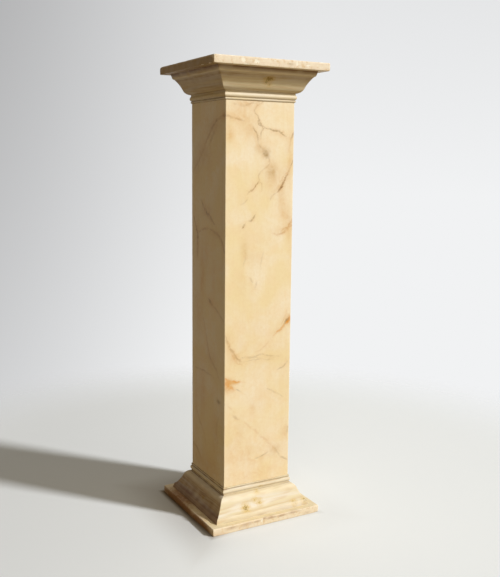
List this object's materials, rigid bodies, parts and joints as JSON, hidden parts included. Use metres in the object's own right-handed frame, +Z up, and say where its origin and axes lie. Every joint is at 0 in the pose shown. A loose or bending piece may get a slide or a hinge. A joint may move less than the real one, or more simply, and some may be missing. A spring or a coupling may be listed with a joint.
{
  "type": "square pedestal column",
  "caption": "Tall square wooden pedestal column with a marbled shaft, a moulded capital and base and flat square boards at both ends, for standing a vase or bust on.",
  "frame": {"origin": "centre of the underside of the plinth board, on the floor", "axes": "+Z up the column, front face towards -Y, right face towards +X"},
  "size_m": [0.3, 0.3, 1.1],
  "materials": {
    "marbled_shaft": "wooden board painted warm cream marbling under satin varnish",
    "painted_moulding": "pine moulding under a thin cream wash, satin",
    "painted_board": "wooden board painted cream, chipped and scuffed at the edges, satin"
  },
  "bodies": {
    "root": {"top_board": "painted_board", "crown_front": "painted_moulding", "crown_right": "painted_moulding", "crown_back": "painted_moulding", "crown_left": "painted_moulding", "neck_strip_front": "painted_moulding", "neck_strip_right": "painted_moulding", "neck_strip_back": "painted_moulding", "neck_strip_left": "painted_moulding", "shaft_board_front": "marbled_shaft", "shaft_board_right": "marbled_shaft", "shaft_board_back": "marbled_shaft", "shaft_board_left": "marbled_shaft", "base_strip_front": "painted_moulding", "base_strip_right": "painted_moulding", "base_strip_back": "painted_moulding", "base_strip_left": "painted_moulding", "base_moulding_front": "painted_moulding", "base_moulding_right": "painted_moulding", "base_moulding_back": "painted_moulding", "base_moulding_left": "painted_moulding", "plinth_board": "painted_board"}
  },
  "joints": []
}
